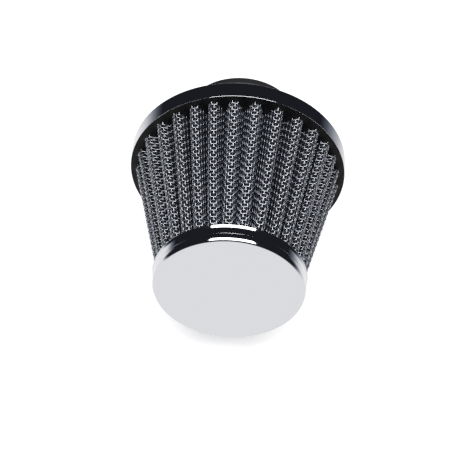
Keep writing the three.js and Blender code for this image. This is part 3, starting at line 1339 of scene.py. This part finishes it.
    def build_housing(self) -> bpy.types.Object:
        """Makes the pressed housing: an arched cover with two ribs, and two bearing ends.

        Returns:
            The piece.
        """
        foot = self.screw - self.loop - self.gap
        wall_foot = self.screw - self.tail - self.strip - self.bearing_lift
        inside, outside = self.housing_inside, self.housing_inside + self.housing_sheet
        half = self.housing_length / 2
        cover = self.arch(outside, foot) + self.arch(inside, foot)[::-1]
        parts = [plate("cover", [cover], self.housing_length, self.across_screw(0), 0.2)]
        bearing = self.disc(self.bearing, 24)
        closed = self.arch(inside + 0.1, wall_foot)
        rib = self.arch(outside + self.rib_rise, foot - self.rib_short)
        rib += self.arch(outside - self.rib_root, foot - self.rib_short)[::-1]
        for side in (-1, 1):
            placed = self.across_screw(side * (half - self.bearing_inset))
            parts.append(plate("bearing_end", [closed, bearing], self.housing_sheet, placed))
        for side in (-1, 1):
            placed = self.across_screw(side * half * self.rib_place)
            parts.append(plate("rib", [rib], self.rib_width, placed, 0.25))
        piece = join("clamp_housing_pressing", parts)
        return finish_piece(piece, ZINC, Body.CLAMP, ["clamp_housing"])

    def thread(self) -> bpy.types.Object:
        """Makes the worm: a round body whose radius follows a right-handed thread.

        Returns:
            The worm.
        """
        length = self.housing_length / 2 - self.housing_sheet - self.gap
        around, along = 48, 22
        turn = np.linspace(0, 2 * np.pi, around, endpoint=False)[:, None]
        place = np.linspace(-length, length, round(2 * length / self.pitch * along))
        phase = np.mod(place / self.pitch - turn / (2 * np.pi) + 0.5, 1.0) - 0.5
        flat, rise, run_out = 0.11, 0.13, 0.9
        height = np.clip((flat + rise - np.abs(phase)) / rise, 0, 1)
        height = height * height * (3 - 2 * height)
        fade = np.clip((length - np.abs(place)) / run_out, 0, 1)
        radius = self.root + (self.crest - self.root) * height * fade
        angle = turn + math.pi / 2
        across, up = radius * np.cos(angle) - self.middle, radius * np.sin(angle) - self.screw
        points = np.stack([np.broadcast_to(place, radius.shape), across, up], -1)
        number = np.arange(points.shape[0] * points.shape[1]).reshape(points.shape[:2])
        after = np.roll(number, -1, 0)
        quads = np.stack([number[:, :-1], number[:, 1:], after[:, 1:], after[:, :-1]], -1).reshape(-1, 4)
        faces = quads.tolist() + [number[:, 0].tolist(), number[::-1, -1].tolist()]
        return mesh_from("thread", points.reshape(-1, 3) * MM, faces)

    def build_screw(self) -> bpy.types.Object:
        """Makes the worm screw, with a slotted hexagon head.

        Returns:
            The piece.
        """
        half = self.housing_length / 2
        head_start = half + self.gap
        head_base = head_start + self.washer_thickness - 0.2
        slot_floor = self.screw_end - self.driver_depth
        corner = self.flats / math.sqrt(3)
        foot_place = self.screw_start + self.foot_length / 2
        washer_place = head_start + self.washer_thickness / 2
        base = slot_floor - head_base
        parts = [self.thread()]
        for name, outline, thickness, station, edge in (
            ("shank", self.disc(self.shank), 2 * half + 1.6, 0, 0.15),
            ("foot", self.disc(self.foot), self.foot_length, foot_place, 0.3),
            ("washer", self.disc(self.washer, 40), self.washer_thickness, washer_place, 0.15),
            ("hexagon", self.disc(corner, 6), base, head_base + base / 2, 0.2),
        ):
            parts.append(plate(name, [outline], thickness, self.across_screw(station), edge))
        wall = self.driver_slot / 2
        cut = corner - wall / math.tan(math.radians(60))
        tall = self.flats / 2
        placed = self.across_screw(self.screw_end - self.driver_depth / 2 - 0.1)
        for side in (1, -1):
            half_head = [(cut, side * wall), (corner / 2, side * tall), (-corner / 2, side * tall)]
            half_head.append((-cut, side * wall))
            parts.append(plate("half_head", [half_head[::side]], self.driver_depth + 0.2, placed, 0.2))
        piece = join("clamp_worm_screw", parts)
        return finish_piece(piece, ZINC, Body.SCREW, ["clamp_screw"])

    def build(self) -> list[bpy.types.Object]:
        """Makes the clamp's four pieces."""
        return [self.build_loop(), self.build_tail(), self.build_housing(), self.build_screw()]


# ---------------------------------------------------------------- studio


@dataclass
class Studio:
    """A pale floor, one overhead softbox and the camera, which looks at a place on the filter's axis."""

    tilt_deg: float = 48.5
    roll_deg: float = 4.18
    distance: float = 0.7282
    lens: float = 157.55
    sensor: float = 36.0
    aim_depth: float = 56.7
    aim_right_deg: float = -0.241
    aim_up_deg: float = -0.0315
    softbox: tuple[float, float] = (1.0, 0.8)
    softbox_deg: float = 107.0
    softbox_away: float = 0.9
    softbox_power: float = 12.0
    paper_glow: float = 0.62
    paper_fade: tuple[float, float] = (0.3, 0.9)
    pool_middle: tuple[float, float] = (-0.05, -0.12)
    pool_reach: float = 1.2
    pool_light: float = 0.968
    # How the pool's light falls off with the distance from its middle, as a share of its reach.
    pool_fade: tuple[tuple[float, str], ...] = (
        (0.13, "FFFFFF"),
        (0.165, "E6E6E8"),
        (0.2, "BCBEC2"),
        (0.26, "868A92"),
        (0.36, "565A63"),
        (0.55, "343740"),
        (0.9, "202126"),
    )
    room: str = "202126"
    paper: str = "EFEFF0"
    paper_roughness: float = 0.9
    paper_shine: float = 0.1
    floor_reach: float = 4.0

    def build_floor(self) -> None:
        """Lays the pale floor that the rim touches. The metal mirrors it as a fading pool of light."""
        low = CAD_BOX[0][2]
        ways = ((-1, -1), (1, -1), (1, 1), (-1, 1))
        corners = np.array([(self.floor_reach * x, self.floor_reach * y, low) for x, y in ways])
        floor = mesh_from("studio_floor", corners, [(0, 1, 2, 3)])
        material = bpy.data.materials.new("studio_paper")
        material.use_nodes = True
        tree = material.node_tree
        paper = tree.nodes["Principled BSDF"]
        paper.inputs["Base Color"].default_value = linear(self.paper)
        paper.inputs["Roughness"].default_value = self.paper_roughness
        paper.inputs["Specular IOR Level"].default_value = self.paper_shine
        paper.inputs["Emission Color"].default_value = (1, 1, 1, 1)
        place = add_node(tree, "ShaderNodeTexCoord")
        settings = {"operation": "DISTANCE", 1: (*self.pool_middle, low)}
        away = add_node(tree, "ShaderNodeVectorMath", settings, {0: place.outputs["Object"]})
        near, far = self.paper_fade
        settings = {"From Min": near, "From Max": far, "To Min": self.paper_glow, "To Max": 1.0}
        glow = add_node(tree, "ShaderNodeMapRange", settings, {"Value": away.outputs["Value"]})
        tree.links.new(glow.outputs["Result"], paper.inputs["Emission Strength"])
        settings = {"operation": "DIVIDE", 1: self.pool_reach}
        share = add_node(tree, "ShaderNodeMath", settings, {0: away.outputs["Value"]})
        fade = add_node(tree, "ShaderNodeValToRGB", {"stops": self.pool_fade}, {0: share.outputs[0]})
        links = {"Color": fade.outputs[0]}
        pool = add_node(tree, "ShaderNodeEmission", {"Strength": self.pool_light}, links)
        seen = add_node(tree, "ShaderNodeLightPath").outputs["Is Camera Ray"]
        links = {0: seen, 1: pool.outputs[0], 2: paper.outputs[0]}
        mix = add_node(tree, "ShaderNodeMixShader", links=links)
        tree.links.new(mix.outputs[0], tree.nodes["Material Output"].inputs["Surface"])
        floor.data.materials.append(material)

    def build_lights(self) -> None:
        """Hangs the softbox, and sets a dark room that the camera sees as white."""
        light = bpy.data.lights.new("softbox", "AREA")
        light.shape = "RECTANGLE"
        light.size, light.size_y = self.softbox
        light.energy = self.softbox_power
        softbox = add_object("softbox", light)
        up = math.radians(self.softbox_deg)
        target = Vector((0, -self.aim_depth * MM, 0))
        softbox.location = target + Vector((0, math.cos(up), math.sin(up))) * self.softbox_away
        softbox.rotation_euler = (target - softbox.location).to_track_quat("-Z", "Y").to_euler()
        world = bpy.data.worlds.new("room")
        world.use_nodes = True
        tree = world.node_tree
        tree.nodes.clear()
        seen = add_node(tree, "ShaderNodeLightPath").outputs["Is Camera Ray"]
        dark = add_node(tree, "ShaderNodeBackground", {"Color": linear(self.room), "Strength": 1.0})
        white = add_node(tree, "ShaderNodeBackground", {"Color": linear("FFFFFF"), "Strength": 1.0})
        links = {0: seen, 1: dark.outputs[0], 2: white.outputs[0]}
        mix = add_node(tree, "ShaderNodeMixShader", links=links)
        add_node(tree, "ShaderNodeOutputWorld", links={"Surface": mix.outputs[0]})
        bpy.context.scene.world = world

    def build_camera(self) -> None:
        """Places the camera in front of and above the cap."""
        tilt = math.radians(self.tilt_deg)
        back = Vector((0, -math.cos(tilt), math.sin(tilt)))
        data = bpy.data.cameras.new("camera")
        data.sensor_width = self.sensor
        data.lens = self.lens
        camera = add_object("camera", data)
        target = Vector((0, -self.aim_depth * MM, 0))
        upright = (-back).to_track_quat("-Z", "Y").to_matrix()
        aim = Matrix.Rotation(math.radians(-self.aim_right_deg), 3, "Y")
        nod = Matrix.Rotation(math.radians(self.aim_up_deg), 3, "X")
        roll = Matrix.Rotation(math.radians(self.roll_deg), 3, "Z")
        turned = (upright @ roll @ aim @ nod).to_4x4()
        camera.matrix_world = Matrix.Translation(target + back * self.distance) @ turned
        bpy.context.scene.camera = camera

    def build(self) -> None:
        """Builds the floor, the light and the camera."""
        self.build_camera()
        self.build_floor()
        self.build_lights()
        bpy.context.scene.view_settings.view_transform = "Standard"


def main() -> None:
    """Builds the studio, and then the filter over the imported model."""
    logging.basicConfig(level=logging.INFO, format="%(message)s")
    Studio().build()
    pleats = Pleats()
    inner = {"wire": 0.15, "sides": 4, "samples": 1, "sectors": 2}
    _, rim_back, rim_front = span("base_rim")
    _, cap_rear, cap_face = span("end_cap")
    base = {"back": rim_back + 4.6, "face": rim_front - 0.2, "inner": 25, "outer": 39.6}
    disc = {"back": cap_face - 1.1, "face": cap_rear + 0.9, "inner": 0.4, "outer": 26.5}
    for assembly in (
        EndCap(),
        BaseRim(),
        RubberBase(),
        WireScreen(pleats, "outer_screen", "outer_wire_screen", inset=0.05, soft=0.5),
        GauzePlies(pleats),
        WireScreen(pleats, "inner_screen", "inner_wire_screen", inset=1.45, soft=0.3, **inner),
        Potting(pleats, "base_potting_ring", "base_potting", **base),
        Potting(pleats, "end_cap_potting_disc", "end_cap_potting", **disc),
        HoseClamp(),
    ):
        for piece in assembly.build():
            LOG.info("%s: %d faces", piece.name, len(piece.data.polygons))


if __name__ == "__main__":
    main()
